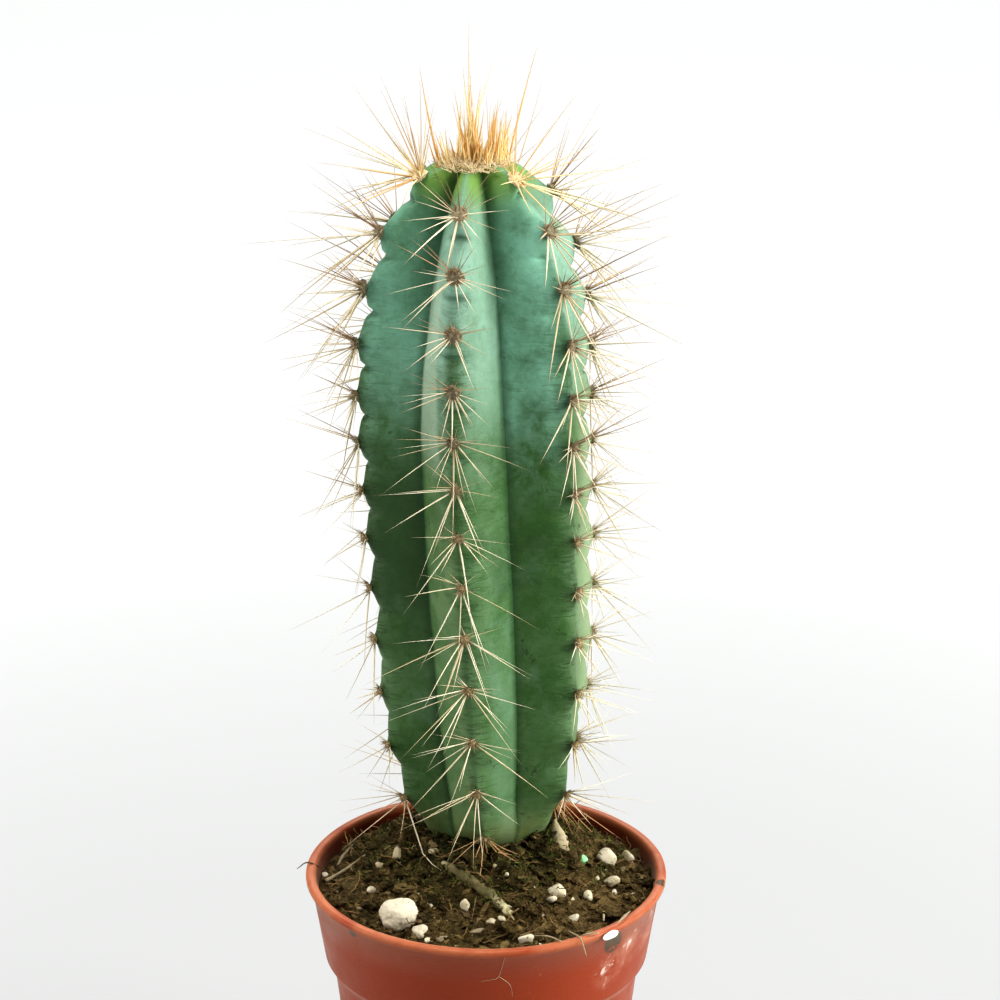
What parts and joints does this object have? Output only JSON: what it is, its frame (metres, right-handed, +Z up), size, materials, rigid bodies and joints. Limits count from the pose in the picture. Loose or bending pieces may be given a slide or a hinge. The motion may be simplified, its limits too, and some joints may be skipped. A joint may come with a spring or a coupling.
{
  "type": "potted columnar cactus",
  "caption": "Blue-green ribbed column cactus with rows of woolly areoles and long spines, growing in a mound of dark potting mix in a round tapered nursery pot with a rolled rim.",
  "frame": {"origin": "centre of the pot's flat underside, on the pot's axis", "axes": "+Z up along the pot's axis and the stem, -Y towards the front of the pot, where the soil slopes away from the stem"},
  "size_m": [0.0908, 0.1037, 0.288],
  "materials": {
    "pot_plastic": "satin",
    "peat": "matte",
    "cactus_skin": "satin",
    "perlite": "matte",
    "granule_coating": "satin",
    "pale_flake": "matte",
    "bark": "matte"
  },
  "bodies": {
    "root": {"pot": "pot_plastic", "potting_mix": "peat", "cactus_stem": "cactus_skin", "perlite_stone": "perlite", "perlite_grain_01": "perlite", "perlite_grain_02": "perlite", "perlite_grain_03": "perlite", "perlite_grain_04": "perlite", "perlite_grain_05": "perlite", "perlite_grain_06": "perlite", "perlite_grain_07": "perlite", "perlite_grain_08": "perlite", "perlite_grain_09": "perlite", "perlite_grain_10": "perlite", "feed_granule": "granule_coating", "rim_flake": "pale_flake", "bark_twig": "bark"}
  },
  "joints": []
}
